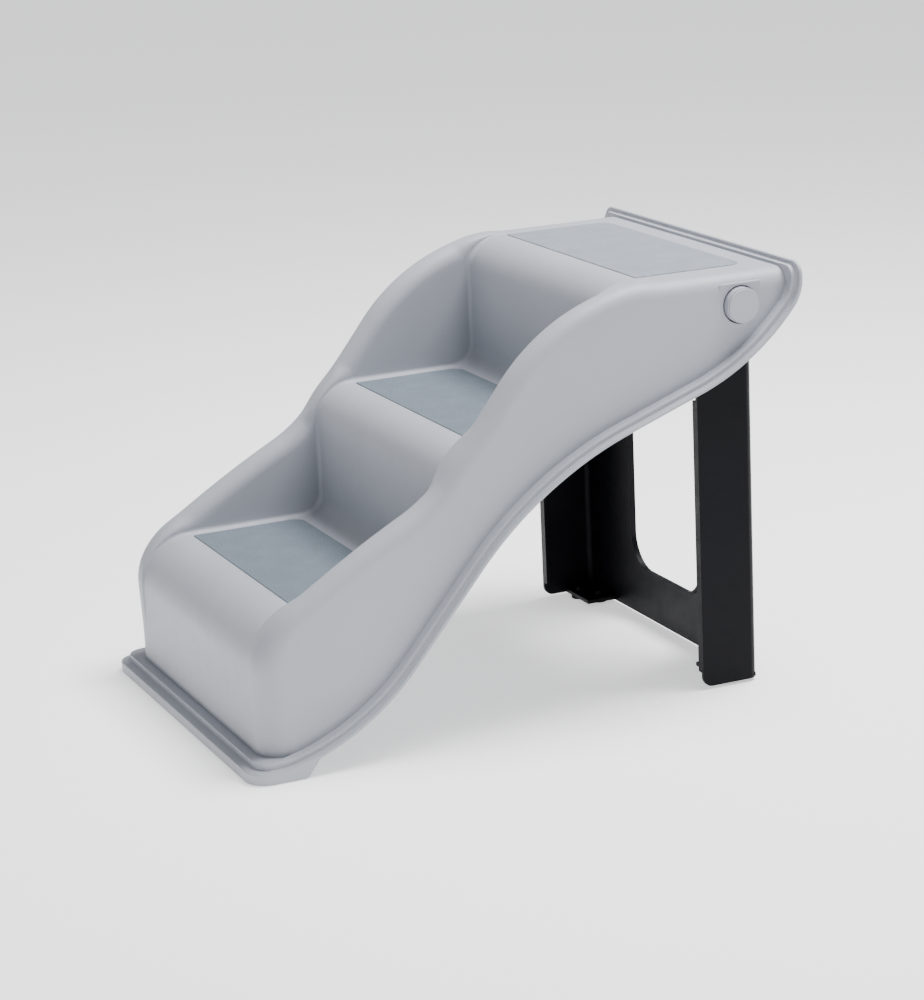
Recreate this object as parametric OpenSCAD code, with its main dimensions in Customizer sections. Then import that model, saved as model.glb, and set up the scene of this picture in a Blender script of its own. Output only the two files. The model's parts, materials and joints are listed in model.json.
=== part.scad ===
// Folding pet steps: a one-piece moulded shell with three matted treads between S-curved side
// walls, standing on two front feet and on a U-shaped leg frame that folds up under the treads.
// +X is the climbing direction, +Y the left side, +Z up. The origin is on the floor, below the
// middle of the bounding box.

/* [Shell] */
// Overall length of the shell
shell_l = 576; // [570:1:582]
// Overall width across the rim
shell_w = 400; // [392:1:408]
// Thickness of the moulded skin
skin_t = 3.5; // [3:0.1:3.8]
// Distance from the front of the rim to the front wall
front_ledge = 19.5; // [17:0.5:22]
// Height of the lowest tread
first_rise = 142; // [138:1:146]
// Rise from one tread to the next
step_rise = 131.5; // [130:0.5:133]
// Half width of the walking channel between the side walls
channel_half = 150; // [148:1:150]
// Width of the rim outside each side wall
side_ledge = 18; // [17:0.5:19]

/* [Treads] */
// Distance from the front wall to the second riser
lower_run = 196; // [194:1:198]
// Distance from the second riser to the third
middle_run = 175; // [173:1:177]
// Radius of the nosing of the lowest tread
first_nosing_r = 48; // [44:1:50]
// Radius of the two upper nosings
nosing_r = 36; // [32:1:38]
// Radius between a tread and the riser behind it
riser_fillet_r = 22; // [18:1:24]

/* [Mats] */
// Depth of each mat, in the climbing direction
mat_d = 115; // [105:1:116]
// Width of each mat
mat_w = 282; // [260:1:284]
// Thickness of each mat
mat_t = 2.5; // [2:0.1:3]
// Depth of the recess that each mat lies in
mat_recess = 1.5; // [1:0.1:1.8]

/* [Leg frame] */
// Depth of the leg frame, in the climbing direction
leg_d = 61; // [56:1:62]
// Wall thickness of the leg frame
leg_t = 4; // [3.5:0.1:4.2]
// Width of the window in the rear panel
window_w = 148; // [100:1:156]
// Height of the crossbar below the window
crossbar_h = 55; // [50:1:60]
// How far the frame folds
fold_angle = 48; // [40:1:48]

/* [Hinge and button] */
// Pivot distance from the back of the rim
pivot_back = 57; // [55:1:59]
// Pivot height above the floor
pivot_z = 376; // [374:1:376]
// Outside diameter of the release button
button_d = 34; // [32:1:34]
// How far the button stands out of the side wall
button_out = 8; // [6:0.5:9]
// Radius of the pivot sleeve
sleeve_r = 8; // [7.5:0.1:8]
// Radius of the button's stem
stem_r = 4; // [3.5:0.1:4]

/* [Hidden] */
$fn = 48;

shell_color = [0.74, 0.75, 0.78];
mat_color = [0.52, 0.56, 0.60];
leg_color = [0.07, 0.07, 0.08];
rubber_color = [0.10, 0.10, 0.11];
steel_color = [0.70, 0.71, 0.73];
nylon_color = [0.88, 0.87, 0.82];

eps = 0.01;
front_x = -shell_l / 2;
rear_x = shell_l / 2;
half_w = shell_w / 2;
wall_y = half_w - side_ledge;      // outer face of each side wall
wall_in = wall_y - skin_t;         // its inner face
wall_x = front_x + front_ledge;    // front wall
riser2_x = wall_x + lower_run;
riser3_x = riser2_x + middle_run;
tread_z = [first_rise, first_rise + step_rise, first_rise + 2 * step_rise];
platform_z = tread_z[2];
platform_under = platform_z - skin_t;

// The rim stands just clear of the floor. Its upper ledge is one step above its lower one.
rim_z = 4;
lower_ledge_z = 11;
upper_ledge_z = 17.5;
wall_foot_z = 12;
side_upper_out = 11.5;             // width of the side rim's upper ledge
side_lip_t = 3;
side_step_h = 5;
rim_corner_r = 22;

// Half-round crest of the side walls
crest_round = (wall_y - channel_half) / 2;
crest_mid = channel_half + crest_round;
pad_h = 41;

// Rear lip
lip_h = 7;
lip_t = 5;
lip_r = 14;
lip_x = rear_x - 4;

// Hinge stack, measured outwards from the centre plane
pivot_x = rear_x - pivot_back;
plate_in = 150;                    // inner plate of the housing
plate_in_t = 6.8;
hub_in = 158;
hub_out = 165;
plate_out = 166.2;                 // outer plate of the housing
plate_out_t = 4;
washer_t = 1.1;
pad_in = 172;                      // inner face of the pad that the button runs through
housing_top = 394;
housing_flange_t = 4;
running = 0.06;                    // radial clearance of a running fit
button_r = button_d / 2;
button_travel = 5;
button_floor = 176;                // inner edge of the button's skirt
stem_end = 143;
spring_seat = plate_out + plate_out_t + 1.2;
latch_y = 141.7;                   // outer face of the latch leaf
latch_t = 1.2;
latch_screw_z = 389;
latch_tooth_z = 357.5;
latch_tooth_h = 3;
latch_tooth_w = 8;
housing_screw_x = [pivot_x - 12, pivot_x + 12];
housing_screw_y = 136;

// Leg frame
leg_out = wall_in - 1;             // outer face of each side panel
leg_behind = 15;                    // from the pivot back to the rear face
leg_rear = pivot_x + leg_behind;    // rear face
leg_front = leg_rear - leg_d;
leg_bottom = 3;
leg_top = 338;                     // top of the rear panel
leg_corner_r = 10;
hub_r = 13;
window_top = 300;
window_r = 36;
window_lip = 2;
nub_h = 4;
nub_r = 8.5;
nub_places = [[pivot_x - 13, 157], [pivot_x - 1, 135]];
foot_plate_t = 4;

// Front feet
foot_z = 0.6;
foot_l = 40;
pad_r = 8;
pad_t = 3;
pad_place = [front_x + 18, half_w - 16];

// ---- outlines ----------------------------------------------------------------------------

// A route in the XZ plane is a start point, a heading and a list of moves. A move is
// [length, turn]: a straight line where turn is 0, or an arc of that length.
arc_step = 9;
function arc_move(r, turn) = [PI / 180 * r * abs(turn), turn];
function line_move(len) = [len, 0];
function pieces(m) = m[1] == 0 ? 1 : max(1, ceil(abs(m[1]) / arc_step));
function advance(p, m) =
    let (k = m[1] == 0 ? 1 : sin(m[1] / 2) / (m[1] * PI / 360), h = p[2] + m[1] / 2)
    [p[0] + m[0] * k * cos(h), p[1] + m[0] * k * sin(h), p[2] + m[1]];
function follow(p, m, n) = [for (i = [1:n]) advance(p, m * i / n)];
function route(p, moves, i = 0) =
    i == len(moves) ? [p]
    : let (run = follow(p, moves[i], pieces(moves[i])), last = run[len(run) - 1])
      concat([p], [for (j = [0:1:len(run) - 2]) run[j]], route(last, moves, i + 1));
// Where a route has got to before move i
function pose(p, moves, i) = i == 0 ? p : advance(pose(p, moves, i - 1), moves[i - 1]);
// The route moved sideways: positive is to the left of the heading
function beside(r, d) = [for (p = r) [p[0] - d * sin(p[2]), p[1] + d * cos(p[2])]];
function backwards(v) = [for (i = [len(v) - 1:-1:0]) v[i]];

// Treads and risers, from the foot of the front wall to the back of the platform
tread_route = route([wall_x, wall_foot_z, 90], [
    line_move(first_rise - wall_foot_z - first_nosing_r),
    arc_move(first_nosing_r, -90),
    line_move(lower_run - first_nosing_r - riser_fillet_r),
    arc_move(riser_fillet_r, 90),
    line_move(step_rise - riser_fillet_r - nosing_r),
    arc_move(nosing_r, -90),
    line_move(middle_run - nosing_r - riser_fillet_r),
    arc_move(riser_fillet_r, 90),
    line_move(step_rise - riser_fillet_r - nosing_r),
    arc_move(nosing_r, -90),
    line_move(lip_x - riser3_x - nosing_r)
]);

// The stretch from the floor to the end of the first nosing, and the platform with its nosing
front_part = [for (p = tread_route) if (p[0] < wall_x + first_nosing_r + 1) p];
platform_part = [for (p = tread_route) if (p[0] > riser3_x - 1 && p[1] > platform_z - nosing_r - 1) p];

// Crest of a side wall: up the front, over the lower hump, a hollow and the upper hump
hump_turn = 57;
flat_turn = 6;
hollow_turn = 25;
hump_r = 80;
front_line = 75;
flat_r = 1000;
hollow_r = 155;
crest_r = 192;
crest_start = [wall_x, wall_foot_z, 89];
crest_climb = [
    line_move(front_line),
    arc_move(hump_r, -hump_turn + 1),
    line_move(29),
    arc_move(flat_r, -flat_turn),
    arc_move(hollow_r, hollow_turn)
];
crest_over = arc_move(crest_r, -(90 - hump_turn - flat_turn + hollow_turn));
// The straight below the upper hump is as long as brings the crest level with the platform
crest_short = pose(crest_start, concat(crest_climb, [crest_over]), len(crest_climb) + 1);
crest_slope = (platform_z - crest_short[1]) / sin(90 - hump_turn - flat_turn + hollow_turn);
crest_moves = concat(crest_climb, [line_move(crest_slope), crest_over]);
crest_top = pose(crest_start, crest_moves, len(crest_moves));
crest_line = concat(route(crest_start, crest_moves), [[lip_x, platform_z, 0]]);

// Lower edge of the rim at its outside, from the front to the rear tip
rim_first_r = 237;
rim_first_turn = 46;
rim_corner_turn = 5.4;
rim_start = advance([front_x, rim_z, 3.4], arc_move(rim_first_r, rim_corner_turn));
rim_moves = [
    arc_move(rim_first_r, rim_first_turn - rim_corner_turn),
    line_move(104.3),
    arc_move(369, -29.7),
    line_move(80.6),
    arc_move(236, 30.2),
    arc_move(41, 44)
];
rim_line = route(rim_start, rim_moves);

// ---- shell -------------------------------------------------------------------------------

// A band that lies between two distances beside a route, from y0 to y1
module band(r, d0, d1, y0, y1) {
    extrude_y(y0, y1) polygon(concat(beside(r, d0), backwards(beside(r, d1))));
}

// Extrudes an XZ outline from y0 to y1
module extrude_y(y0, y1) {
    translate([0, y1, 0]) rotate([90, 0, 0]) linear_extrude(y1 - y0) children();
}

module both_sides() {
    children();
    mirror([0, 1, 0]) children();
}

// Draws a cross-section along one move from pose p. The section's first axis is +Y and its
// second is the distance to the left of the heading.
module along(p, m) {
    r = m[1] == 0 ? 0 : m[0] / (abs(m[1]) * PI / 180);
    nx = -sin(p[2]);
    nz = cos(p[2]);
    if (m[1] == 0)
        multmatrix([[0, nx, nz, p[0]], [1, 0, 0, 0], [0, nz, -nx, p[1]], [0, 0, 0, 1]])
            linear_extrude(m[0]) children();
    else if (m[1] > 0)
        multmatrix([[-nx, nz, 0, p[0] + r * nx], [0, 0, -1, 0], [-nz, -nx, 0, p[1] + r * nz],
            [0, 0, 0, 1]])
            rotate_extrude(angle = m[1], $fn = 160) translate([r, 0]) mirror([1, 1]) children();
    else
        multmatrix([[nx, nz, 0, p[0] - r * nx], [0, 0, 1, 0], [nz, -nx, 0, p[1] - r * nz],
            [0, 0, 0, 1]])
            rotate_extrude(angle = -m[1], $fn = 160) translate([r, 0]) mirror([1, -1]) children();
}

// Every second piece is a little longer at both ends and a hair thinner, so that the pieces
// run into each other without sharing a surface
lap = 0.6;
thinner = 0.05;
module along_all(p, moves, odd = 0) {
    for (i = [0:len(moves) - 1]) {
        m = moves[i];
        q = pose(p, moves, i);
        if ((i + odd) % 2 == 0) along(q, m) children(0);
        else along(advance(q, -m * lap / m[0]), m * (1 + 2 * lap / m[0])) children(1);
    }
}

// Points on an arc about the centre of the crest's section
function section_arc(r, a0, a1, n) =
    [for (i = [0:n]) let (a = a0 + (a1 - a0) * i / n)
        [crest_mid + r * cos(a), r * sin(a) - crest_round]];

// Half-round crest, with a short length of the wall below it on each side
module crest_section(t = 0) {
    foot = -crest_round - 3;
    polygon(concat(
        [[wall_in + t, foot], [wall_y - t, foot]],
        section_arc(crest_round - t, 0, 180, 14),
        [[channel_half + t, foot], [channel_half + skin_t - t, foot]],
        section_arc(crest_round - skin_t + t, 180, 0, 10)
    ));
}

// Edge of the platform, which is flat to the middle of the crest
module platform_section(t = 0) {
    foot = -crest_round - 3;
    polygon(concat(
        [[wall_in + t, foot], [wall_y - t, foot]],
        section_arc(crest_round - t, 0, 90, 7),
        [[channel_half, -t], [channel_half, t - skin_t]],
        section_arc(crest_round - skin_t + t, 90, 0, 5)
    ));
}

// Two-step rim with a short length of the wall above it
module rim_section(t = 0) {
    out = wall_y + side_upper_out;
    polygon([
        [wall_in + t, side_step_h + t], [out - side_lip_t + t, side_step_h + t],
        [out - side_lip_t + t, t], [half_w - t, t], [half_w - t, side_lip_t - t],
        [out - t, side_lip_t - t], [out - t, side_lip_t + side_step_h - t],
        [wall_y - t, side_lip_t + side_step_h - t], [wall_y - t, 14], [wall_in + t, 14]
    ]);
}

// Side wall with its crest, its inner wall and the rim along it
module side_wall() {
    extrude_y(channel_half + 2 * thinner, channel_half + skin_t - 2 * thinner) intersection() {
        polygon(concat(beside(crest_line, -crest_round - 1.5), [[lip_x, rim_z], [wall_x, rim_z]]));
        polygon(concat(beside(tread_route, -skin_t + 1), [[lip_x, 2 * platform_z],
            [wall_x - 50, 2 * platform_z], [wall_x - 50, upper_ledge_z]]));
    }
    along_all(crest_start, crest_moves) {
        crest_section();
        crest_section(thinner);
    }
    along(crest_top - [lap, 0, 0], line_move(lip_x - crest_top[0] + lap)) platform_section(thinner);
    // The front wall and the platform run out to the middle of the crest
    band(front_part, -skin_t, 0, channel_half, crest_mid - 2);
    band(platform_part, -skin_t, 0, channel_half, crest_mid - 2);
    extrude_y(wall_in, wall_y) intersection() {
        polygon(concat(beside(crest_line, -crest_round - 1),
            [[lip_x, 0], [wall_x + crest_round + 1, 0]]));
        polygon(concat(beside(rim_line, 12), [[lip_x, 2 * platform_z], [front_x, 2 * platform_z],
            [front_x, upper_ledge_z]]));
    }
    along_all(rim_start, rim_moves, 1) {
        rim_section();
        rim_section(thinner);
    }
    // Towards the front corner the ledges thicken and level out to meet those of the front
    extrude_y(wall_in, half_w) polygon([
        [front_x + rim_corner_r, rim_z], [front_x + rim_corner_r, lower_ledge_z],
        [front_x + 38, 12.8], [front_x + 52, 16], [front_x + 66, 20.5], [front_x + 60, 15.5]
    ]);
    extrude_y(wall_in, wall_y + side_upper_out) polygon([
        [front_x + rim_corner_r, lower_ledge_z - 2], [front_x + rim_corner_r, upper_ledge_z],
        [front_x + 38, 18.7], [front_x + 52, 21.4], [front_x + 66, 25.6], [front_x + 64, 19]
    ]);
    // Pad that makes the wall flat around the button
    translate([pivot_x - button_r - 5, pad_in, pivot_z - button_r - 3])
        cube([button_d + 10, wall_y - pad_in, pad_h]);
}

// Rounded rectangle in plan that runs from x0 rearwards and ends square
module front_plan(x0, hw, r, x1) {
    translate([x0 + r, -hw]) square([x1 - x0 - r, 2 * hw]);
    translate([x0, r - hw]) square([r + eps, 2 * (hw - r)]);
    for (s = [-1, 1]) translate([x0 + r, s * (hw - r)]) circle(r);
}

module front_rim() {
    back = wall_x + skin_t;
    translate([0, 0, rim_z]) linear_extrude(lower_ledge_z - rim_z + eps) difference() {
        front_plan(front_x, half_w, rim_corner_r, back);
        front_plan(front_x + skin_t, half_w - skin_t - 10, rim_corner_r, back + 1);
    }
    translate([0, 0, lower_ledge_z - 2]) linear_extrude(upper_ledge_z - lower_ledge_z + 2)
        difference() {
            front_plan(front_x + 10.5, wall_y + side_upper_out, rim_corner_r - 4, back);
            front_plan(wall_x + skin_t - 1, wall_in, rim_corner_r - 8, back + 20);
        }
    translate([0, 0, lower_ledge_z - 3]) linear_extrude(3) difference() {
        front_plan(front_x, half_w, rim_corner_r, back);
        front_plan(wall_x, wall_in, rim_corner_r - 8, back + 20);
    }
}

// Foot at a front corner, which the rim stands on; its back slopes up to the rim
module front_foot() {
    extrude_y(wall_in + 2, half_w) polygon([
        [front_x + rim_corner_r, foot_z], [front_x + foot_l + 5, foot_z],
        [front_x + foot_l + 20, 17], [front_x + rim_corner_r, lower_ledge_z - 1]
    ]);
    translate([0, 0, foot_z]) linear_extrude(lower_ledge_z - foot_z) intersection() {
        front_plan(front_x, half_w, rim_corner_r, front_x + rim_corner_r + eps);
        translate([front_x, half_w - foot_l]) square([rim_corner_r + 1, foot_l]);
    }
}

module rear_lip() {
    low = platform_z - 14;
    top = platform_z + lip_h;
    extrude_x(lip_x - eps, rear_x) {
        translate([-half_w, low]) square([2 * half_w, top - low - lip_r]);
        translate([lip_r - half_w, low]) square([2 * (half_w - lip_r), top - low]);
        for (s = [-1, 1]) translate([s * (half_w - lip_r), top - lip_r]) circle(lip_r);
    }
    translate([lip_x - lip_t, -wall_y - side_upper_out + lip_r, platform_z - skin_t])
        cube([lip_t + eps, 2 * (wall_y + side_upper_out - lip_r), skin_t + 3]);
}

// Low ribs along the underside, and the bosses for the housing screws
rib_places = [-45, -15, 15, 45];
rib_t = 3;
rib_h = 6;
boss_r = 5;
screw_pilot_r = 1.6;

module underside() {
    for (y = rib_places)
        band(tread_route, -skin_t - rib_h, -skin_t + 1, y - rib_t / 2, y + rib_t / 2);
    for (x = housing_screw_x, s = [-1, 1]) translate([x, s * housing_screw_y, housing_top])
        cylinder(r = boss_r, h = platform_under - housing_top + 1);
}

mat_x = [
    wall_x + first_nosing_r + 5,
    riser2_x + nosing_r + 4,
    riser3_x + nosing_r + 4
];

module mat_outline(d, w) {
    r = 14;
    translate([0, -w / 2]) square([d - r, w]);
    translate([d - r - eps, r - w / 2]) square([r + eps, w - 2 * r]);
    for (s = [-1, 1]) translate([d - r, s * (w / 2 - r)]) circle(r);
}

module body_shell() {
    color(shell_color) difference() {
        union() {
            band(tread_route, -skin_t, 0, -channel_half - 1.5, channel_half + 1.5);
            both_sides() {
                side_wall();
                front_foot();
            }
            front_rim();
            rear_lip();
            underside();
        }
        for (i = [0:2]) translate([mat_x[i] - 0.3, 0, tread_z[i] - mat_recess])
            linear_extrude(mat_recess + 1) mat_outline(mat_d + 0.6, mat_w + 0.6);
        for (s = [-1, 1]) translate([pivot_x, s * (pad_in - 1), pivot_z]) rotate([-90 * s, 0, 0])
            cylinder(r = button_r + 0.3, h = wall_y - pad_in + 4);
        for (x = housing_screw_x, s = [-1, 1])
            translate([x, s * housing_screw_y, housing_top - 1]) cylinder(r = screw_pilot_r, h = 8.5);
        for (s = [-1, 1]) translate([pad_place[0], s * pad_place[1], -1])
            cylinder(r = pad_r + 0.1, h = pad_t + 1);
    }
}

// ---- mats --------------------------------------------------------------------------------

module tread_mat(i) {
    color(mat_color) translate([mat_x[i], 0, tread_z[i] - mat_recess])
        linear_extrude(mat_t) mat_outline(mat_d, mat_w);
}

// ---- leg frame ---------------------------------------------------------------------------

// Side panel seen from the side. Its upper front corner is cut back so that it clears the
// platform as the frame folds.
module leg_panel_outline() {
    r = 10;
    shoulder = pivot_z - 68;
    polygon([
        [leg_front + r, leg_bottom], [leg_rear + 1, leg_bottom], [leg_rear + 1, leg_top + 1],
        [pivot_x - hub_r, leg_top + 1], [leg_front, shoulder], [leg_front, leg_bottom + r]
    ]);
    translate([leg_front + r, leg_bottom + r]) circle(r);
}

// Window outline in the YZ plane
module window_outline(grow) {
    w = window_w / 2 + grow;
    r = window_r + grow;
    for (y = [-1, 1], z = [crossbar_h + window_r, window_top - window_r])
        translate([y * (window_w / 2 - window_r), z]) circle(r);
    translate([r - w, crossbar_h - grow]) square([2 * (w - r), window_top - crossbar_h + 2 * grow]);
    translate([-w, crossbar_h + window_r])
        square([2 * w, window_top - crossbar_h - 2 * window_r]);
}

// Extrudes a YZ outline from x0 to x1
module extrude_x(x0, x1) {
    translate([x0, 0, 0]) rotate([90, 0, 90]) linear_extrude(x1 - x0) children();
}

// Rectangle in plan that starts square at x0 and ends rounded at x1
module rear_plan(x0, x1, hw, r) {
    translate([x0, -hw]) square([x1 - x0 - r, 2 * hw]);
    translate([x1 - r - eps, r - hw]) square([r + eps, 2 * (hw - r)]);
    for (s = [-1, 1]) translate([x1 - r, s * (hw - r)]) circle(r);
}

// The frame is one wall, U-shaped in plan, with rounded rear corners
module leg_walls() {
    intersection() {
        translate([0, 0, leg_bottom]) linear_extrude(leg_top - leg_bottom) difference() {
            rear_plan(leg_front, leg_rear, leg_out, leg_corner_r);
            rear_plan(leg_front - 1, leg_rear - leg_t, leg_out - leg_t, leg_corner_r - leg_t);
        }
        extrude_y(-leg_out - 1, leg_out + 1) leg_panel_outline();
    }
}

module leg_side() {
    // Hinge arm, set inwards of the side panel and joined to it by a shelf
    extrude_y(hub_in, hub_out) {
        translate([pivot_x, pivot_z]) circle(hub_r);
        translate([pivot_x - hub_r, leg_top - 6])
            square([hub_r + leg_behind - leg_t / 2, pivot_z - leg_top + 6]);
    }
    translate([pivot_x - hub_r, hub_in, leg_top - 8])
        cube([hub_r + leg_behind - leg_t / 2, leg_out - leg_t / 2 - hub_in, 8]);
    // Rib along the front edge, and the plate that carries the rubber nubs
    translate([leg_front, leg_out - 10, leg_bottom + 14]) cube([3, 9, 270]);
    translate([leg_rear - 37, 118, nub_h]) cube([35, leg_out - 2 - 118, foot_plate_t]);
}

module leg_frame() {
    color(leg_color) difference() {
        union() {
            both_sides() leg_side();
            difference() {
                leg_walls();
                extrude_x(leg_rear - leg_t - 1, leg_rear + 1) window_outline(0);
            }
            // Lip around the window
            extrude_x(leg_rear - leg_t - window_lip, leg_rear - leg_t + eps) difference() {
                window_outline(3);
                window_outline(0);
            }
        }
        for (s = [-1, 1]) {
            translate([pivot_x, s * (hub_in - 1), pivot_z]) rotate([-90 * s, 0, 0])
                cylinder(r = sleeve_r + running, h = hub_out - hub_in + 2);
            for (p = nub_places) translate([p[0], s * p[1], nub_h - 1]) cylinder(r = 3.1, h = 6);
        }
        // Notches for the latch teeth
        both_sides() translate([pivot_x - latch_tooth_w / 2 - 0.3, hub_in - 1, latch_tooth_z - 0.4])
            cube([latch_tooth_w + 0.6, 4.5, latch_tooth_h + 0.8]);
    }
}

// ---- rubber feet -------------------------------------------------------------------------

module front_rubber_foot() {
    color(rubber_color) translate([pad_place[0], pad_place[1], 0]) cylinder(r = pad_r, h = pad_t);
}

module rear_rubber_feet() {
    color(rubber_color) for (p = nub_places) translate([p[0], p[1], 0]) {
        cylinder(r = nub_r, h = nub_h);
        cylinder(r = 3, h = nub_h + foot_plate_t);
        translate([0, 0, nub_h + foot_plate_t]) cylinder(r1 = 4, r2 = 2, h = 3);
    }
}

// ---- hinge, on the left side -------------------------------------------------------------

// A round piece on the pivot line, from y0 outwards
module on_pivot(y0, h, r) {
    translate([pivot_x, y0, pivot_z]) rotate([-90, 0, 0]) cylinder(r = r, h = h);
}

module hinge_housing() {
    low = latch_tooth_z - 3.5;
    plate_w = 34;
    color(leg_color) difference() {
        union() {
            // Flange under the platform
            translate([pivot_x - 18, 130, housing_top - housing_flange_t])
                cube([36, plate_out + plate_out_t - 130, housing_flange_t]);
            // Inner plate
            translate([pivot_x - plate_w / 2, plate_in, low])
                cube([plate_w, plate_in_t, housing_top - low]);
            // Outer plate, rounded below so that the folding arm passes it
            on_pivot(plate_out, plate_out_t, 15);
            translate([pivot_x - 15, plate_out, pivot_z]) cube([30, plate_out_t, housing_top - pivot_z]);
            // Stop behind the hinge arm
            translate([leg_rear + 0.3, plate_in, low]) cube([5.7, hub_out - plate_in, 12]);
            // Boss that the latch is screwed to
            translate([pivot_x, latch_y, latch_screw_z]) rotate([-90, 0, 0])
                cylinder(r = 4.5, h = plate_in - latch_y + 1);
        }
        on_pivot(plate_in - 1, plate_out + plate_out_t - plate_in + 2, sleeve_r + running);
        // Slot for the latch tooth
        translate([pivot_x - latch_tooth_w / 2 - 0.5, plate_in - 1, latch_tooth_z - 0.7])
            cube([latch_tooth_w + 1, plate_in_t + 2, latch_tooth_h + 1.4]);
        translate([pivot_x, latch_y - 1, latch_screw_z]) rotate([-90, 0, 0])
            cylinder(r = screw_pilot_r, h = 10);
        // Gap in the flange for the top of the latch
        translate([pivot_x - 7.5, 129, housing_top - housing_flange_t - 1])
            cube([15, latch_y + 0.6 - 129, housing_flange_t + 2]);
        for (x = housing_screw_x) translate([x, housing_screw_y, housing_top - 10])
            cylinder(r = 2.2, h = 12);
    }
}

module housing_screws() {
    head_z = housing_top - housing_flange_t;
    color(steel_color) for (x = housing_screw_x) translate([x, housing_screw_y, head_z]) {
        cylinder(r = screw_pilot_r - 0.05, h = 11);
        translate([0, 0, -2.4]) difference() {
            cylinder(r = 3.8, h = 2.4);
            for (a = [0, 90]) rotate([0, 0, a]) translate([-2.2, -0.45, -1]) cube([4.4, 0.9, 2.4]);
        }
    }
}

module pivot_sleeve() {
    color(steel_color) difference() {
        union() {
            on_pivot(plate_in, spring_seat - plate_in, sleeve_r);
            on_pivot(plate_out + plate_out_t, 1.2, sleeve_r + 3);
        }
        on_pivot(plate_in - 1, 30, stem_r + running);
    }
}

module thrust_washers() {
    color(nylon_color) for (y = [plate_in + plate_in_t + 0.05, hub_out + 0.05]) difference() {
        on_pivot(y, washer_t, 12);
        on_pivot(y - 1, washer_t + 2, sleeve_r + 0.1);
    }
}

module release_button() {
    top = wall_y + button_out;
    cap_t = 3;
    color(shell_color) difference() {
        union() {
            on_pivot(button_floor, top - button_floor - 1.5, button_r);
            on_pivot(top - 1.5 - eps, 1.5 + eps, button_r - 1.2);
            on_pivot(stem_end, 20, stem_r);
        }
        difference() {
            on_pivot(button_floor - 1, top - cap_t - button_floor + 1, button_r - 2);
            on_pivot(button_floor - 2, top - button_floor, stem_r);
        }
        // Groove for the retaining clip
        difference() {
            on_pivot(148.3, 1.2, stem_r + 1);
            on_pivot(148, 2, 3.2);
        }
    }
    color(shell_color) on_pivot(stem_end + 19, top - cap_t - stem_end - 19 + eps, stem_r);
}

// Coil spring as a stack of rings joined by short posts, which follows the coil's outline
spring_wire_r = 0.7;
spring_r = 9;
spring_rings = 5;

module button_spring() {
    len_y = wall_y + button_out - 3 - spring_seat;
    pitch = (len_y - 2 * spring_wire_r - 0.2) / (spring_rings - 1);
    color(steel_color) for (i = [0:spring_rings - 1])
        translate([pivot_x, spring_seat + 0.1 + spring_wire_r + i * pitch, pivot_z])
        rotate([-90, 0, 0]) {
            rotate_extrude() translate([spring_r, 0]) circle(spring_wire_r, $fn = 16);
            if (i < spring_rings - 1) rotate([0, 0, 180 * i])
                translate([spring_r, 0, 0]) cylinder(r = spring_wire_r * 0.8, h = pitch, $fn = 16);
        }
}

module retaining_clip() {
    color(steel_color) difference() {
        on_pivot(148.5, 0.8, 7);
        on_pivot(148, 2, 3.25);
        translate([pivot_x - 3.2, 147, pivot_z - 9]) cube([6.4, 4, 9]);
    }
}

// Leaf fixed at its top, with a tooth at its lower end that drops into the hinge arm's notch
module latch_spring() {
    color(steel_color) difference() {
        union() {
            translate([pivot_x - 6, latch_y - latch_t, latch_tooth_z])
                cube([12, latch_t, latch_screw_z + 6 - latch_tooth_z]);
            translate([pivot_x - latch_tooth_w / 2, latch_y - latch_t, latch_tooth_z])
                cube([latch_tooth_w, hub_in + 2.6 - latch_y + latch_t, latch_tooth_h]);
        }
        translate([pivot_x, latch_y - 3, latch_screw_z]) rotate([-90, 0, 0]) cylinder(r = 2, h = 5);
    }
}

module latch_screw() {
    head_y = latch_y - latch_t;
    color(steel_color) translate([pivot_x, head_y, latch_screw_z]) rotate([-90, 0, 0]) {
        cylinder(r = screw_pilot_r - 0.05, h = 8);
        translate([0, 0, -2.2]) difference() {
            cylinder(r = 3.5, h = 2.2);
            for (a = [0, 90]) rotate([0, 0, a]) translate([-2, -0.4, -1]) cube([4, 0.8, 2.2]);
        }
    }
}

// ---- the part ----------------------------------------------------------------------------

module right() mirror([0, 1, 0]) children();

body_shell();
tread_mat(0);  // tread_mat_lower
tread_mat(1);  // tread_mat_middle
tread_mat(2);  // tread_mat_top
leg_frame();
front_rubber_foot();  // front_rubber_foot_left
right() front_rubber_foot();  // front_rubber_foot_right
rear_rubber_feet();  // rear_rubber_feet_left
right() rear_rubber_feet();  // rear_rubber_feet_right
hinge_housing();  // hinge_housing_left
right() hinge_housing();  // hinge_housing_right
housing_screws();  // housing_screws_left
right() housing_screws();  // housing_screws_right
pivot_sleeve();  // pivot_sleeve_left
right() pivot_sleeve();  // pivot_sleeve_right
thrust_washers();  // thrust_washers_left
right() thrust_washers();  // thrust_washers_right
release_button();  // release_button_left
right() release_button();  // release_button_right
button_spring();  // button_spring_left
right() button_spring();  // button_spring_right
retaining_clip();  // retaining_clip_left
right() retaining_clip();  // retaining_clip_right
latch_spring();  // latch_spring_left
right() latch_spring();  // latch_spring_right
latch_screw();  // latch_screw_left
right() latch_screw();  // latch_screw_right
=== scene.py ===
"""Folding pet steps: the looks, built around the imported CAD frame.

Metres, +Z up, and the climb runs along +X.
"""
import json
import math

import bmesh
import bpy
import numpy as np
from mathutils import Matrix, Vector


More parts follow.
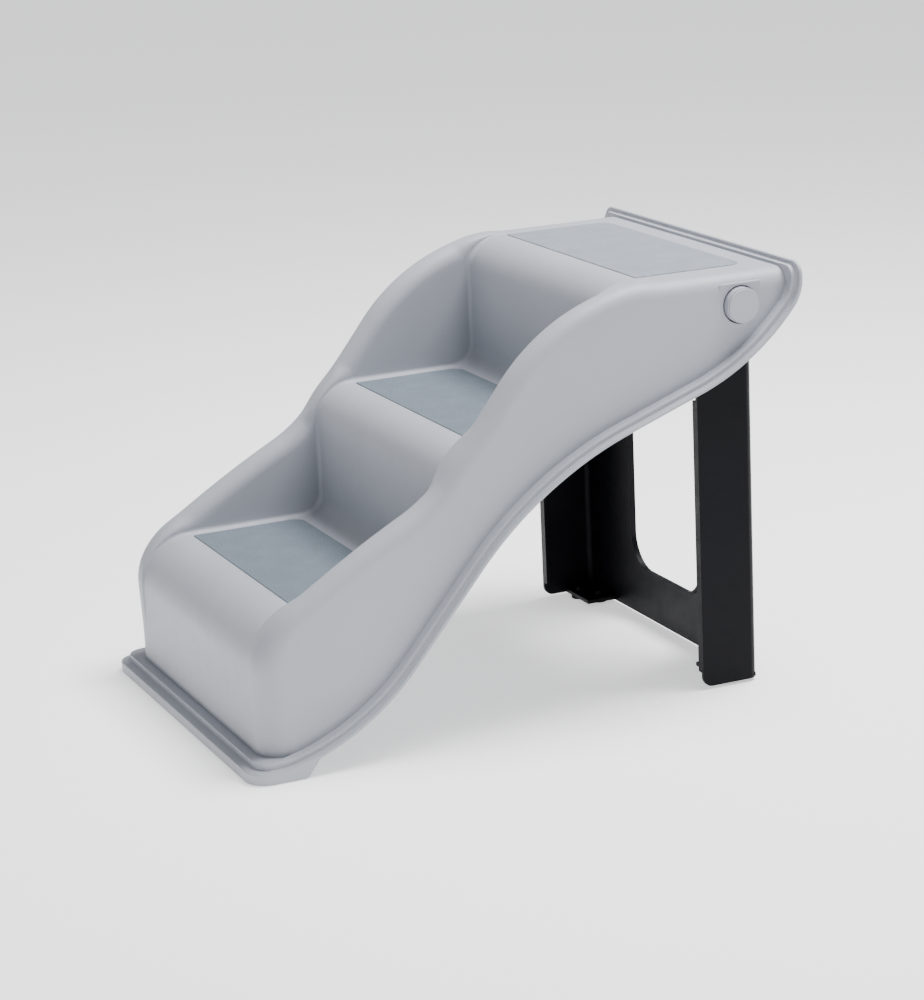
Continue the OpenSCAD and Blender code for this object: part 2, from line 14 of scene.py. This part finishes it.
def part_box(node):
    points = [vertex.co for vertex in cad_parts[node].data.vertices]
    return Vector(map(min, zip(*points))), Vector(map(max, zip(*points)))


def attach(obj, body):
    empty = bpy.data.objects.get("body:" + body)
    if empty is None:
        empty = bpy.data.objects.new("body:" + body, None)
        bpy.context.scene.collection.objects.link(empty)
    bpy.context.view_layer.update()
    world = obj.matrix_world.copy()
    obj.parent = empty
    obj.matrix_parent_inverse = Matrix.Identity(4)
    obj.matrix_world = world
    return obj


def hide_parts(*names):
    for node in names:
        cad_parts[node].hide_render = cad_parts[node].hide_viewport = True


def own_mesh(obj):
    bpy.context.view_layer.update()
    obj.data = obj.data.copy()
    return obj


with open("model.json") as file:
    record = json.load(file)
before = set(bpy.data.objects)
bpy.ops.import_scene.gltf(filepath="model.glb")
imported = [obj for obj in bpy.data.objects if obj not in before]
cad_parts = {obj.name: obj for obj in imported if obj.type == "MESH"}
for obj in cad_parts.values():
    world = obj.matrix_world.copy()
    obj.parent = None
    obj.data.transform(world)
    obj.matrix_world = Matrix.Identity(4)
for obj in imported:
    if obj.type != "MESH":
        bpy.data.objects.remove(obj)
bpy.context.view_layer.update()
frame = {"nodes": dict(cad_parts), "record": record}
BODIES = frame["record"]["behaviour"]["bodies"]
BODY_OF = {node: body for body, nodes in BODIES.items() for node in nodes}


# ---------- Materials ----------

def srgb(r, g, b):
    """A linear colour from 0-255 display values."""
    def linear(c):
        c /= 255
        return c / 12.92 if c < 0.04045 else ((c + 0.055) / 1.055) ** 2.4
    return (linear(r), linear(g), linear(b), 1)


def noise(tree, coords, scale, detail=3.0, stretch=(1, 1, 1)):
    """A noise texture on the object's own coordinates; scale is in cells per metre."""
    mapping = tree.nodes.new("ShaderNodeMapping")
    mapping.inputs["Scale"].default_value = stretch
    tree.links.new(coords, mapping.inputs["Vector"])
    node = tree.nodes.new("ShaderNodeTexNoise")
    node.inputs["Scale"].default_value = scale
    node.inputs["Detail"].default_value = detail
    tree.links.new(mapping.outputs["Vector"], node.inputs["Vector"])
    return node.outputs["Fac"]


def spread(tree, value, low, high, centre=0.5, width=0.2):
    """value, read around centre, spread over low to high."""
    node = tree.nodes.new("ShaderNodeMapRange")
    node.inputs["From Min"].default_value = centre - width
    node.inputs["From Max"].default_value = centre + width
    node.inputs["To Min"].default_value = low
    node.inputs["To Max"].default_value = high
    tree.links.new(value, node.inputs["Value"])
    return node.outputs["Result"]


def mix_colours(tree, factor, a, b):
    """Colour a where factor is 0, running to colour b where it is 1."""
    node = tree.nodes.new("ShaderNodeMix")
    node.data_type = "RGBA"
    node.inputs["A"].default_value = a
    node.inputs["B"].default_value = b
    tree.links.new(factor, node.inputs["Factor"])
    return node.outputs["Result"]


def material(name, light, dark, rough, grains, metallic=0.0, specular=0.5, sheen=0.0,
             blotch=9.0, stretch=(1, 1, 1)):
    """A finish: colour drifting from dark to light, roughness drifting over the pair rough,
    and one bump for each grain (cells per metre, height in metres)."""
    made = bpy.data.materials.new(name)
    made.use_nodes = True
    tree = made.node_tree
    shader = tree.nodes["Principled BSDF"]
    coords = tree.nodes.new("ShaderNodeTexCoord").outputs["Object"]
    drift = noise(tree, coords, blotch, 4.0, stretch)
    colour = mix_colours(tree, spread(tree, drift, 0, 1), dark, light)
    tree.links.new(colour, shader.inputs["Base Color"])
    wear = noise(tree, coords, blotch * 7, 5.0, stretch)
    tree.links.new(spread(tree, wear, rough[0], rough[1]), shader.inputs["Roughness"])
    bumped = None
    for cells, height in grains:
        bump = tree.nodes.new("ShaderNodeBump")
        bump.inputs["Distance"].default_value = height
        tree.links.new(noise(tree, coords, cells, 2.0, stretch), bump.inputs["Height"])
        if bumped:
            tree.links.new(bumped, bump.inputs["Normal"])
        bumped = bump.outputs["Normal"]
    tree.links.new(bumped, shader.inputs["Normal"])
    shader.inputs["Metallic"].default_value = metallic
    shader.inputs["Specular IOR Level"].default_value = specular
    shader.inputs["Sheen Weight"].default_value = sheen
    shader.inputs["Sheen Roughness"].default_value = 0.5
    return made


SHELL = material("shell_plastic", srgb(168, 171, 180), srgb(163, 166, 174), (0.40, 0.52),
                 [(1900, 0.00016), (420, 0.00007)], specular=0.45)
MAT = material("grip_mat", srgb(108, 119, 130), srgb(100, 111, 121), (0.62, 0.88),
               [(1300, 0.0009), (520, 0.0006)], specular=0.3, sheen=0.1, blotch=40)
# Paler copy of the grip mat for the top tread: painted light, the top mat's colour made brighter for
# the light that falls on it.
TOP_MAT_PAINTED_LIGHT = material("grip_mat_top_painted_light", srgb(143, 149, 160), srgb(134, 141, 151), (0.6, 0.85),
                    [(1300, 0.0009), (520, 0.0006)], specular=0.4, sheen=0.15, blotch=40)
LEG = material("leg_plastic", srgb(9, 9, 15), srgb(5, 5, 9), (0.3, 0.42),
               [(1700, 0.00018), (300, 0.00006)], specular=0.09)
RUBBER = material("rubber", srgb(26, 26, 30), srgb(18, 18, 21), (0.7, 0.9),
                  [(900, 0.0003)], specular=0.25)
STEEL = material("zinc_steel", srgb(190, 192, 190), srgb(160, 163, 165), (0.24, 0.42),
                 [(2400, 0.00005)], metallic=1.0, blotch=60, stretch=(1, 1, 6))
NYLON = material("nylon", srgb(226, 224, 214), srgb(212, 209, 198), (0.38, 0.52),
                 [(1500, 0.00012)], specular=0.45, sheen=0.05)
FINISHES = {"shell_plastic": SHELL, "grip_mat": MAT, "leg_plastic": LEG, "foot_rubber": RUBBER,
            "steel": STEEL, "nylon": NYLON}


# ---------- CAD nodes ----------

NODE_FINISH = {"body_shell": SHELL, "release_button": SHELL, "tread_mat": MAT, "leg_frame": LEG,
               "front_rubber_foot": RUBBER, "rear_rubber_feet": RUBBER, "hinge_housing": SHELL,
               "housing_screws": STEEL, "pivot_sleeve": STEEL, "thrust_washers": NYLON,
               "button_spring": STEEL, "retaining_clip": STEEL, "latch_spring": STEEL,
               "latch_screw": STEEL}


def dress_nodes():
    """Every CAD node gets its finish, found by the start of its name."""
    for name, node in frame["nodes"].items():
        finish = next(made for start, made in NODE_FINISH.items() if name.startswith(start))
        node.data.materials.clear()
        node.data.materials.append(finish)


dress_nodes()


# ---------- Curves of the side view ----------

MM = 0.001
WALL_X, FRONT_X = -268.5 * MM, -288 * MM
TREAD_Z = (142 * MM, 273.5 * MM, 405 * MM)
RISE, LOWER_RUN, MIDDLE_RUN = 131.5 * MM, 196 * MM, 175 * MM
FIRST_NOSE, NOSE, FILLET = 48 * MM, 36 * MM, 22 * MM
HALF_CHANNEL, WALL_Y = 150 * MM, 182 * MM
LEDGE_Z, LIP_Z, DOME_END_X = 17.5 * MM, 412 * MM, 280 * MM
STEP = 1.5 * MM


def route(x, z, heading, moves):
    """Points (x, z, heading in degrees) along lines and arcs.

    A line is given as its length, and an arc as (radius, turn in degrees).
    """
    points = [(x, z, heading)]
    for move in moves:
        radius, turn = move if isinstance(move, tuple) else (None, 0)
        length = move if radius is None else radius * math.radians(abs(turn))
        count = max(2, math.ceil(length / STEP))
        for _ in range(count):
            middle = math.radians(heading + turn / count / 2)
            x += length / count * math.cos(middle)
            z += length / count * math.sin(middle)
            heading += turn / count
            points.append((x, z, heading))
    return np.array(points)


CLIMB_X, CLIMB_Z = 0.8, 0.6


def across(points):
    """How far each point is along the climb, the direction that the stations are counted in."""
    return CLIMB_X * points[:, 0] + CLIMB_Z * points[:, 1]


def at(u, us, points):
    """The row of points at u, where us gives each row's own u."""
    return np.array([np.interp(u, us, points[:, k]) for k in range(points.shape[1])])


def normal(heading):
    """The unit vector (x, z) to the left of a heading in degrees."""
    a = math.radians(heading)
    return np.array([-math.sin(a), math.cos(a)])


def smooth(t):
    """0 up to t = 0 and 1 from t = 1, with a soft start and end between them."""
    t = min(1.0, max(0.0, t))
    return t * t * (3 - 2 * t)


def tread_curve():
    """The front wall, the three treads and the two risers between them."""
    first = TREAD_Z[0] - LEDGE_Z - FIRST_NOSE
    step = [(FILLET, 90), RISE - FILLET - NOSE, (NOSE, -90)]
    moves = [first, (FIRST_NOSE, -90), LOWER_RUN - FIRST_NOSE - FILLET, *step,
             MIDDLE_RUN - NOSE - FILLET, *step]
    end = WALL_X + LOWER_RUN + MIDDLE_RUN + NOSE
    return route(WALL_X, LEDGE_Z, 90, [*moves, DOME_END_X - end])


def crest_curve():
    """The S-curved top of a side wall, whose last arc ends level with the top tread."""
    start = (WALL_X, 12 * MM, 89)
    last_turn = 52
    moves = [75 * MM, (80 * MM, -56), 29 * MM, (1.0, -6), (155 * MM, 25)]
    top = (192 * MM, -last_turn)
    short = route(*start, [*moves, top])[-1]
    climb = (TREAD_Z[2] - short[1]) / math.sin(math.radians(last_turn))
    bent = route(*start, [*moves, climb, top])
    return route(*start, [*moves, climb, top, DOME_END_X - bent[-1][0]])


def rim_curve():
    """The shell's lower edge, from the front corner on the floor up to the lip at the rear."""
    start = (FRONT_X, 4 * MM, 3.4)
    moves = [(237 * MM, 46), 104.3 * MM, (369 * MM, -29.7), 80.6 * MM, (236 * MM, 30.2),
             (41 * MM, 40.1)]
    end = route(*start, moves)[-1]
    return route(*start, [*moves, LIP_Z - end[1]])


TREAD, CREST, RIM = tread_curve(), crest_curve(), rim_curve()
RIM_S = np.concatenate([[0], np.cumsum(np.hypot(*np.diff(RIM[:, :2], axis=0).T))])


def larger(a, b, blend=1.5 * MM):
    """The larger of two heights, with the change from one to the other rounded off."""
    return 0.5 * (a + b + math.sqrt((a - b) ** 2 + blend ** 2))


LEVEL_PART = 100 * MM


def ledge_height(s, level, height):
    """A ledge's height over the rim curve: up to level at the front, then height all the way up."""
    _, z, heading = at(s, RIM_S, RIM)
    if s >= LEVEL_PART:
        return height
    return larger((level - z) / math.cos(math.radians(heading)), height)


def on_rim(s, y, d):
    """The point at s along the rim curve, y across, d above it."""
    x, z, heading = at(s, RIM_S, RIM)
    nx, nz = normal(heading)
    return (x + d * nx, y, z + d * nz)


FOOT_LEVEL = 11 * MM
INNER_LEDGE, OUTER_LEDGE = 8 * MM, 3 * MM


def wall_foot(s):
    """Where the side wall meets the inner ledge: (x, z), and s."""
    x, _, z = on_rim(s, 0, ledge_height(s, LEDGE_Z, INNER_LEDGE))
    return (x, z, s)


WALL_FOOT = np.array([wall_foot(s) for s in np.arange(15 * MM, RIM_S[-1], STEP)])


# ---------- The shell's skin ----------

TREAD_START, CREST_END = across(TREAD)[0], across(CREST)[-1]
FLAT_COUNT, FILLET_COUNT, WALL_COUNT, INNER_COUNT, OUTER_COUNT, FOOT_COUNT = 12, 5, 6, 8, 10, 14


def arc_points(cy, cd, ry, rd, start, end, count):
    """Points of an ellipse quarter in a section: centre, radii, angles in degrees."""
    angles = [math.radians(start + (end - start) * k / count) for k in range(count + 1)]
    return [(cy + ry * math.cos(a), cd + rd * math.sin(a)) for a in angles]


def wall_height(u, gap):
    """How high the side wall stands over the tread, fading in at the front and out at the rear."""
    softness, sunk, least, fade = 10 * MM, 0.6 * MM, 0.05 * MM, 50 * MM
    rise_start, fall_start = TREAD_START + 12 * MM, CREST_END - 140 * MM
    h = 0.5 * (gap + math.sqrt(gap * gap + softness ** 2))
    h *= 1 - smooth((u - fall_start) / fade)
    return max(h - sunk, 0) * smooth((u - rise_start) / fade) + least


def section(u):
    """One station's half section from the middle out.

    Gives its points (x, y, z), the place of the wall's foot along the rim, and the index of the
    last point of the crest's outer round.
    """
    tx, tz, _ = at(u, across(TREAD), TREAD)
    cx, cz, heading = at(u, across(CREST), CREST)
    h = wall_height(u, (cz - tz) * CLIMB_X - (cx - tx) * CLIMB_Z)

    def raised(y, up):
        """The point at y, raised from the tread square to the climb."""
        return (tx - CLIMB_Z * up, y, tz + CLIMB_X * up)

    top = np.array([tx - CLIMB_Z * h, tz + CLIMB_X * h])
    n = normal(heading)
    share = min(1.0, h / (22 * MM))
    fillet, inner = MM + 5 * MM * share, MM + 15 * MM * share
    low, high = min(fillet, 0.4 * h), min(inner, 0.6 * h)
    narrowing = smooth((u - TREAD_START - 20 * MM) / (100 * MM))
    outer = 25 * MM - 9 * MM * narrowing
    inner_end = HALF_CHANNEL + inner
    points = [(tx, (HALF_CHANNEL - fillet) * k / FLAT_COUNT, tz) for k in range(FLAT_COUNT)]
    for y, up in arc_points(HALF_CHANNEL - fillet, low, fillet, low, -90, 0, FILLET_COUNT):
        points.append(raised(y, up))
    for k in range(1, WALL_COUNT):
        points.append(raised(HALF_CHANNEL, low + (h - low - high) * k / WALL_COUNT))
    for y, up in arc_points(inner_end, h - high, inner, high, 180, 90, INNER_COUNT):
        points.append(raised(y, up))
    crown = (inner_end + WALL_Y - outer) / 2
    points.append((top[0], max(crown, inner_end + 0.02 * MM), top[1]))
    start_y = max(WALL_Y - outer, inner_end + 0.04 * MM)
    for y, down in arc_points(start_y, -outer, WALL_Y - start_y, outer, 90, 0, OUTER_COUNT):
        points.append((top[0] + down * n[0], y, top[1] + down * n[1]))
    round_end = len(points) - 1
    x, z = top - outer * n
    foot_x, foot_z, s = at(CLIMB_X * x + CLIMB_Z * z, across(WALL_FOOT), WALL_FOOT)
    for k in range(1, FOOT_COUNT + 1):
        t = k / FOOT_COUNT
        points.append((x + (foot_x - x) * t, WALL_Y, z + (foot_z - z) * t))
    return points, s, round_end


STATION = 2.2 * MM
PIVOT_X, PIVOT_Z = 231 * MM, 376 * MM
FRONT_R, REAR_R = 22 * MM, 14 * MM
HALF_W, LEDGE_Y = 200 * MM, 193.5 * MM
SKIN = 3.2 * MM


def quarter(cs, cy, radius, share, front):
    """A point (s, y) on a plan corner; share runs from 0, across the steps, to 1, along them."""
    a = math.radians(90 * share)
    if front:
        return (cs - radius * math.cos(a), cy + radius * math.sin(a))
    return (cs + radius * math.sin(a), cy + radius * math.cos(a))


def ring_loops(loop):
    """For each boundary point (kind, share, s, y) the places (s, y) of both ledges' edges.

    A plan is front edge, front corner radius, side edge, rear inset and rear corner radius.
    """
    end = RIM_S[-1]
    along = [s for kind, _, s, _ in loop if kind == "side"]
    first, last = along[0], along[-1]
    blend = 60 * MM
    plans = ((10 * MM, 16 * MM, LEDGE_Y, 4 * MM, 12 * MM), (0, FRONT_R, HALF_W, 0, REAR_R))
    found = []
    for kind, share, s, _ in loop:
        pair = []
        for front, front_r, side, rear, rear_r in plans:
            if kind == "front":
                pair.append((front, share * (side - front_r)))
            elif kind == "front_corner":
                pair.append(quarter(front + front_r, side - front_r, front_r, share, True))
            elif kind == "side":
                start, stop = front + front_r, end - rear - rear_r
                shifted = s + (start - first) * (1 - smooth((s - first) / blend))
                pair.append((shifted + (stop - last) * smooth((s - last + blend) / blend), side))
            elif kind == "rear_corner":
                pair.append(quarter(end - rear - rear_r, side - rear_r, rear_r, share, False))
            else:
                pair.append((end - rear, share * (side - rear_r)))
        found.append(pair)
    return found


def ledge_section(w1, w2, d1, d2):
    """The stepped rim in section: (outwards, height) from the wall's foot to the bottom edge."""
    r = 1.2 * MM
    path = arc_points(w1 - r, d1 - r, r, r, 90, 0, 3)
    path += arc_points(w1 + r, d2 + r, r, r, 180, 270, 3)
    path += arc_points(w2 - r, d2 - r, r, r, 90, 0, 3)
    return [(w1 * 0.5, d1), *path, (w2, 0)]


def foot_drop(x, z):
    """The skirt's bottom: just over the floor at the front, then rising behind the feet to the rim."""
    over_floor, feet_end, slope = 0.6 * MM, -235 * MM, 1.3
    return min(z, over_floor + max(0, x - feet_end) * slope)


def rim_strips(boundary, loop):
    """Rows of points from each boundary point out over the two ledges and down the skirt."""
    rows = []
    for point, place, (b, d) in zip(boundary, loop, ring_loops(loop)):
        a = (place[2], place[3])
        w1 = math.dist(a, b)
        w2 = w1 + math.dist(b, d)
        d1 = ledge_height(b[0], LEDGE_Z, INNER_LEDGE)
        d2 = ledge_height(d[0], FOOT_LEVEL, OUTER_LEDGE)
        row = [point]
        for w, up in ledge_section(w1, w2, d1, d2):
            low, high, t = (a, b, w / w1) if w <= w1 else (b, d, (w - w1) / (w2 - w1))
            row.append(on_rim(low[0] + (high[0] - low[0]) * t, low[1] + (high[1] - low[1]) * t, up))
        x, y, z = row[-1]
        row[-1] = (x, y, foot_drop(x, z))
        rows.append(row)
    return rows


def half_shell():
    """Grids of points for the +y half: the dome, and the rim around its edge."""
    us = np.arange(across(TREAD)[0], across(TREAD)[-1], STATION)
    us = np.append(us, across(TREAD)[-1])
    stations = [section(u) for u in us]
    dome = [points for points, _, _ in stations]
    front, rear = dome[0], dome[-1]
    bend = stations[0][2]
    corner = bend - OUTER_COUNT
    front[bend + 1:] = [front[bend]] * (len(front) - bend - 1)
    loop, boundary = [], []
    for k in range(bend + 1):
        x, y, z = front[k]
        s = float(np.interp(x, WALL_FOOT[:, 0], WALL_FOOT[:, 2]))
        if k <= corner:
            loop.append(("front", y / front[corner][1], s, y))
        else:
            loop.append(("front_corner", (k - corner) / OUTER_COUNT, s, y))
        boundary.append((x, y, z))
    for points, s, _ in stations[1:-1]:
        loop.append(("side", 0, s, WALL_Y))
        boundary.append(points[-1])
    lip = slice(-200, None)
    for k in range(bend, -1, -1):
        x, y, z = rear[k]
        s = float(np.interp(z, RIM[lip, 1], RIM_S[lip]))
        if k <= corner:
            loop.append(("rear", y / rear[corner][1], s, y))
        else:
            loop.append(("rear_corner", (bend - k) / OUTER_COUNT, s, y))
        boundary.append((x, y, z))
    return dome, rim_strips(boundary, loop)


def grid_mesh(name, grids, mirrored=True):
    """A mesh of quads over grids of points, mirrored across the middle and welded."""
    made = bmesh.new()
    for grid in grids:
        rows = [[made.verts.new(p) for p in row] for row in grid]
        for a, b in zip(rows, rows[1:]):
            for k in range(len(a) - 1):
                made.faces.new((a[k], a[k + 1], b[k + 1], b[k]))
    if mirrored:
        copy = bmesh.ops.duplicate(made, geom=made.verts[:] + made.faces[:])["geom"]
        twins = [g for g in copy if isinstance(g, bmesh.types.BMVert)]
        for v in twins:
            v.co.y = -v.co.y
        bmesh.ops.reverse_faces(made, faces=[g for g in copy if isinstance(g, bmesh.types.BMFace)])
    bmesh.ops.remove_doubles(made, verts=made.verts, dist=0.03 * MM)
    bmesh.ops.dissolve_degenerate(made, edges=made.edges, dist=0.01 * MM)
    bmesh.ops.recalc_face_normals(made, faces=made.faces)
    mesh = bpy.data.meshes.new(name)
    made.to_mesh(mesh)
    made.free()
    obj = bpy.data.objects.new(name, mesh)
    bpy.context.scene.collection.objects.link(obj)
    return obj


def finish_piece(obj, body, slot, sharp=35, finish=None):
    """Smooth shading, the slot's material or the given finish, and the body that it rides on."""
    obj.data.shade_smooth()
    obj.data.set_sharp_from_angle(angle=math.radians(sharp))
    obj.data.materials.clear()
    obj.data.materials.append(finish or FINISHES[slot])
    crisp = obj.modifiers.new("crisp", "WEIGHTED_NORMAL")
    crisp.keep_sharp = True
    crisp.weight = 80
    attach(obj, body)
    return obj


def apply(obj, kind, **settings):
    """Adds a modifier, and makes its result the mesh."""
    modifier = obj.modifiers.new(kind.lower(), kind)
    for key, value in settings.items():
        setattr(modifier, key, value)
    depsgraph = bpy.context.evaluated_depsgraph_get()
    shaped = bpy.data.meshes.new_from_object(obj.evaluated_get(depsgraph))
    obj.modifiers.clear()
    obj.data = shaped


SIDE_HOLE_R = 20 * MM


def button_side(place):
    """Whether a place is on a side wall where the button's hole goes, behind its surround."""
    away = math.hypot(place.x - PIVOT_X, place.z - PIVOT_Z)
    return abs(place.y) > HALF_CHANNEL and away < SIDE_HOLE_R


def shell():
    """The one-piece moulding: treads, risers, side walls and the two-step rim."""
    obj = grid_mesh("shell", half_shell())
    bm = bmesh.new()
    bm.from_mesh(obj.data)
    widest = max(bm.faces, key=lambda f: abs(f.normal.z) * f.calc_area())
    if widest.normal.z < 0:
        bmesh.ops.reverse_faces(bm, faces=bm.faces)
    holes = [f for f in bm.faces if button_side(f.calc_center_median())]
    bmesh.ops.delete(bm, geom=holes, context="FACES")
    bm.to_mesh(obj.data)
    bm.free()
    apply(obj, "SOLIDIFY", thickness=SKIN, offset=-1, use_even_offset=False,
          use_quality_normals=True)
    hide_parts("body_shell")
    return finish_piece(obj, "shell", "shell_plastic")


# ---------- Pieces that take their shape from a CAD node ----------

def softened(node, name, width, segments=3, flat=4, angle=35):
    """A copy of a CAD node's mesh with its flat faces joined up and its edges rounded by width."""
    source = frame["nodes"][node]
    bm = bmesh.new()
    bm.from_mesh(source.data)
    bmesh.ops.remove_doubles(bm, verts=bm.verts, dist=0.01 * MM)
    bmesh.ops.dissolve_limit(bm, angle_limit=math.radians(flat), verts=bm.verts, edges=bm.edges)
    mesh = bpy.data.meshes.new(name)
    bm.to_mesh(mesh)
    bm.free()
    obj = bpy.data.objects.new(name, mesh)
    bpy.context.scene.collection.objects.link(obj)
    apply(obj, "BEVEL", width=width, segments=segments, limit_method="ANGLE",
          angle_limit=math.radians(angle), harden_normals=False)
    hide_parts(node)
    return obj


def soft_parts():
    """Mats, leg frame, buttons and rubber feet, each with moulded edges."""
    # The top mat takes the paler copy of the grip mat, whose extra brightness is painted light.
    for step, finish in (("lower", MAT), ("middle", MAT), ("top", TOP_MAT_PAINTED_LIGHT)):
        mat = softened("tread_mat_" + step, "mat_" + step, 0.7 * MM)
        finish_piece(mat, "shell", "grip_mat", finish=finish)
    leg = softened("leg_frame", "leg", 1.1 * MM)
    finish_piece(leg, BODY_OF["leg_frame"], "leg_plastic", 30)
    for side in ("left", "right"):
        button = softened("release_button_" + side, "button_" + side, 1.6 * MM, 4)
        finish_piece(button, BODY_OF["release_button_" + side], "shell_plastic", 30)
        for feet in ("front_rubber_foot_", "rear_rubber_feet_"):
            pads = softened(feet + side, feet.replace("rubber_", "") + side, 0.8 * MM)
            finish_piece(pads, BODY_OF[feet + side], "foot_rubber", 40)


def return_springs():
    """The coil behind each button, a softened copy of the CAD spring with a mesh of its own."""
    for side, sign in (("left", 1), ("right", -1)):
        spring = softened("button_spring_" + side, "return_spring_" + side, 0.05 * MM,
                          segments=1, flat=2, angle=60)
        finish_piece(spring, "shell", "steel", 60)
        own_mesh(spring)


# ---------- The buttons' flat surrounds ----------

PAD_R, PAD_TOP, BORE_R = 22 * MM, 21 * MM, 18.2 * MM


def pad_edge(a):
    """How far the surround's outline is from the pivot axis in direction a.

    The outline is a half circle below, with straight sides up to a flat top.
    """
    sideways, up = abs(math.cos(a)), math.sin(a)
    if up <= 0:
        return PAD_R
    return min(PAD_R / max(sideways, 1e-6), PAD_TOP / up)


def button_surround(side, sign):
    """A flat U-shaped plate round the button, level with the side wall."""
    face, back, soft = WALL_Y + 0.15 * MM, 171 * MM, 0.5 * MM
    count = 144
    rows = []
    for k in range(count + 1):
        a = math.radians(360 / count * k)
        out = pad_edge(a)
        ring = [(BORE_R, back), (BORE_R, face - soft), (BORE_R + soft, face), (out - soft, face),
                (out, face - soft), (out, back), (BORE_R, back)]
        rows.append([(PIVOT_X + r * math.cos(a), sign * y, PIVOT_Z + r * math.sin(a))
                     for r, y in ring])
    obj = grid_mesh("button_surround_" + side, [rows], mirrored=False)
    finish_piece(obj, "shell", "shell_plastic", 30)


# ---------- The underside ----------

def boss(bm, x, y, radius, z0, z1):
    """A short round boss from z0 up to z1."""
    made = bmesh.ops.create_cone(bm, cap_ends=True, segments=32, radius1=radius, radius2=radius,
                                 depth=z1 - z0)
    bmesh.ops.translate(bm, verts=made["verts"], vec=(x, y, (z0 + z1) / 2))


def foot_block(bm, sign):
    """The solid sole inside a front corner of the skirt, which holds the rubber pad."""
    left, back, inner, side, radius = -285.2 * MM, -236 * MM, 156 * MM, 197.2 * MM, 19 * MM
    bottom, top, count = 0.8 * MM, 9 * MM, 8
    outline = [(back, side), (back, inner), (left, inner)]
    for k in range(count + 1):
        a = math.radians(90 / count * k)
        x = left + radius - radius * math.cos(a)
        outline.append((x, side - radius + radius * math.sin(a)))
    low = [bm.verts.new((x, sign * y, bottom)) for x, y in outline]
    high = [bm.verts.new((x, sign * y, top)) for x, y in outline]
    bm.faces.new(low)
    bm.faces.new(high)
    for k in range(len(low)):
        after = (k + 1) % len(low)
        bm.faces.new((low[k], low[after], high[after], high[k]))


def rib(bm, y):
    """One stiffening rib at y, which follows the treads from below and starts inside the skin."""
    root, side, edge, half = -SKIN + 0.6 * MM, -8.5 * MM, -9.3 * MM, 1.5 * MM
    ring = [(root, -1), (side, -1), (edge, 0), (side, 1), (root, 1)]
    count = len(ring)
    rows = []
    for x, z, heading in TREAD[4:-4:2]:
        nx, nz = normal(heading)
        rows.append([bm.verts.new((x + d * nx, y + half * w, z + d * nz)) for d, w in ring])
    for a, b in zip(rows, rows[1:]):
        for k in range(count):
            after = (k + 1) % count
            bm.faces.new((a[k], a[after], b[after], b[k]))
    bm.faces.new(rows[0])
    bm.faces.new(rows[-1][::-1])


def underside():
    """The ribs, the bosses that the hinge housings screw to, and the soles of the front corners."""
    boss_r, ribs = 5 * MM, (-45 * MM, -15 * MM, 15 * MM, 45 * MM)
    bm = bmesh.new()
    for y in ribs:
        rib(bm, y)
    for side in ("left", "right"):
        _, housing_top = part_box("hinge_housing_" + side)
        low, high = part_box("housing_screws_" + side)
        y = (low.y + high.y) / 2
        inset = (high.y - low.y) / 2
        for x in (low.x + inset, high.x - inset):
            boss(bm, x, y, boss_r, housing_top.z, TREAD_Z[2] - SKIN + MM)
    for sign in (-1, 1):
        foot_block(bm, sign)
    bmesh.ops.recalc_face_normals(bm, faces=bm.faces)
    mesh = bpy.data.meshes.new("underside_ribs")
    bm.to_mesh(mesh)
    bm.free()
    obj = bpy.data.objects.new("underside_ribs", mesh)
    bpy.context.scene.collection.objects.link(obj)
    finish_piece(obj, "shell", "shell_plastic", 40)


shell()
soft_parts()
return_springs()
button_surround("left", 1)
button_surround("right", -1)
underside()


# ---------- Floor, light and camera ----------

def area_light(name, place, aim, size, power):
    """A white rectangular light at place that faces aim, with its power in watts."""
    lamp = bpy.data.lights.new(name, "AREA")
    lamp.shape = "RECTANGLE"
    lamp.size, lamp.size_y = size
    lamp.energy = power
    obj = bpy.data.objects.new(name, lamp)
    obj.location = place
    obj.rotation_euler = (Vector(aim) - Vector(place)).to_track_quat("-Z", "Y").to_euler()
    bpy.context.scene.collection.objects.link(obj)


def studio():
    """A pale floor that runs to the horizon, a pale surround, and one large and one weak soft light."""
    bpy.ops.mesh.primitive_plane_add(size=60, location=(0, 0, 0))
    floor = bpy.context.object
    floor.name = "floor"
    paper = bpy.data.materials.new("paper")
    paper.use_nodes = True
    shader = paper.node_tree.nodes["Principled BSDF"]
    shader.inputs["Base Color"].default_value = (0.95, 0.95, 0.95, 1)
    shader.inputs["Roughness"].default_value = 0.9
    shader.inputs["Specular IOR Level"].default_value = 0.1
    shader.inputs["Emission Color"].default_value = (1, 1, 1, 1)
    shader.inputs["Emission Strength"].default_value = 0.75
    floor.data.materials.append(paper)
    world = bpy.data.worlds.new("surround")
    world.use_nodes = True
    background = world.node_tree.nodes["Background"]
    background.inputs["Color"].default_value = (0.96, 0.98, 1.0, 1)
    background.inputs["Strength"].default_value = 0.5
    bpy.context.scene.world = world
    area_light("top", (0.8, -0.15, 2.4), (0.05, 0, 0.2), (1.2, 1.2), 132)
    area_light("side", (1.6, -2.6, 1.3), (0.1, 0, 0.25), (1.4, 1.2), 3)


CAMERA_PLACE = (-1.0774, -2.4961, 0.9290)
YAW_PITCH_ROLL = (-23.67, 15.44, -2.67)
LENS, SENSOR = 103.54, 36


def camera():
    """The photograph's view, from the front left and above."""
    yaw, pitch, roll = (math.radians(a) for a in YAW_PITCH_ROLL)
    flat = math.cos(pitch)
    back = Vector((math.sin(yaw) * flat, -math.cos(yaw) * flat, math.sin(pitch)))
    level = (-back).cross(Vector((0, 0, 1))).normalized()
    above = level.cross(-back)
    right = level * math.cos(roll) + above * math.sin(roll)
    up = -level * math.sin(roll) + above * math.cos(roll)
    lens = bpy.data.cameras.new("camera")
    lens.lens = LENS
    lens.sensor_width = SENSOR
    obj = bpy.data.objects.new("camera", lens)
    turn = Matrix((right, up, back)).transposed().to_4x4()
    obj.matrix_world = Matrix.Translation(CAMERA_PLACE) @ turn
    bpy.context.scene.collection.objects.link(obj)
    bpy.context.scene.camera = obj


studio()
camera()
